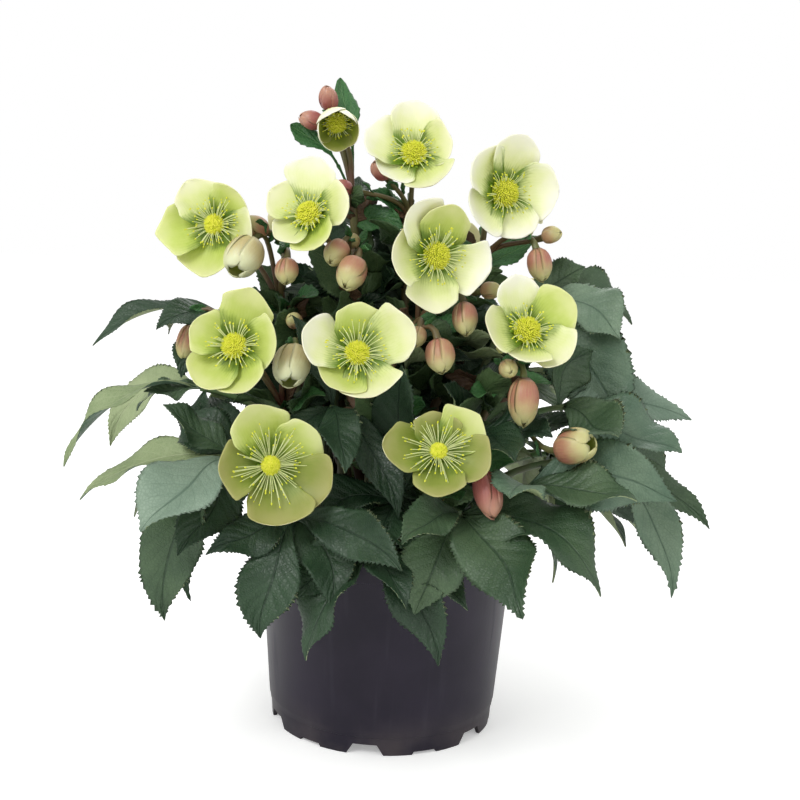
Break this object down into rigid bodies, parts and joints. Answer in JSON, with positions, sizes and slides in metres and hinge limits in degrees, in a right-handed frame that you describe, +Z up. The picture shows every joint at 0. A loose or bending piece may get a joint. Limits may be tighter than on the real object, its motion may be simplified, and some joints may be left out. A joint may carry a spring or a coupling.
{
  "type": "potted christmas rose",
  "caption": "Christmas rose in flower in a round plastic nursery pot: cream-green cup flowers, pink buds and bracts on upright stems over dark divided leaves.",
  "frame": {"origin": "on the ground under the middle of the plant's bounding box, within a few millimetres of the pot's upright axis", "axes": "+Z up, out of the ground; -Y is the front that the picture shows; +X is the viewer's right"},
  "size_m": [0.381, 0.3191, 0.391],
  "materials": {
    "pot": "satin",
    "compost": "matt, crumbly",
    "stem": "smooth, satin",
    "spray": "soft, satin petals",
    "leaf": "leathery, satin"
  },
  "bodies": {
    "root": {"compost": "compost", "leaf_back_high_1": "leaf", "leaf_back_high_2": "leaf", "leaf_back_high_3": "leaf", "leaf_back_low_1": "leaf", "leaf_back_low_2": "leaf", "leaf_back_low_3": "leaf", "leaf_back_low_4": "leaf", "leaf_back_low_5": "leaf", "leaf_back_low_6": "leaf", "leaf_between_left": "leaf", "leaf_between_right": "leaf", "leaf_front": "leaf", "leaf_front_left": "leaf", "leaf_front_right": "leaf", "leaf_inner_2": "leaf", "leaf_inner_3": "leaf", "leaf_inner_5": "leaf", "leaf_left_high": "leaf", "leaf_left_low": "leaf", "leaf_left_middle": "leaf", "leaf_low_middle": "leaf", "leaf_right": "leaf", "leaf_right_high": "leaf", "leaf_right_low": "leaf", "leaf_right_middle": "leaf", "leaf_screen_left": "leaf", "leaf_screen_middle": "leaf", "leaf_screen_right": "leaf", "leaf_side_1": "leaf", "leaf_side_2": "leaf", "pot": "pot", "spray_back": "spray", "spray_back_left": "spray", "spray_back_right": "spray", "spray_centre": "spray", "spray_front_left": "spray", "spray_front_right": "spray", "spray_left": "spray", "spray_left_front": "spray", "spray_middle": "spray", "spray_right": "spray", "spray_top": "spray", "spray_upper_left": "spray", "spray_upper_middle": "spray", "spray_upper_right": "spray", "stem_back": "stem", "stem_back_left": "stem", "stem_back_right": "stem", "stem_centre": "stem", "stem_front_left": "stem", "stem_front_right": "stem", "stem_left": "stem", "stem_left_front": "stem", "stem_middle": "stem", "stem_right": "stem", "stem_top": "stem", "stem_upper_left": "stem", "stem_upper_middle": "stem", "stem_upper_right": "stem"}
  },
  "joints": []
}
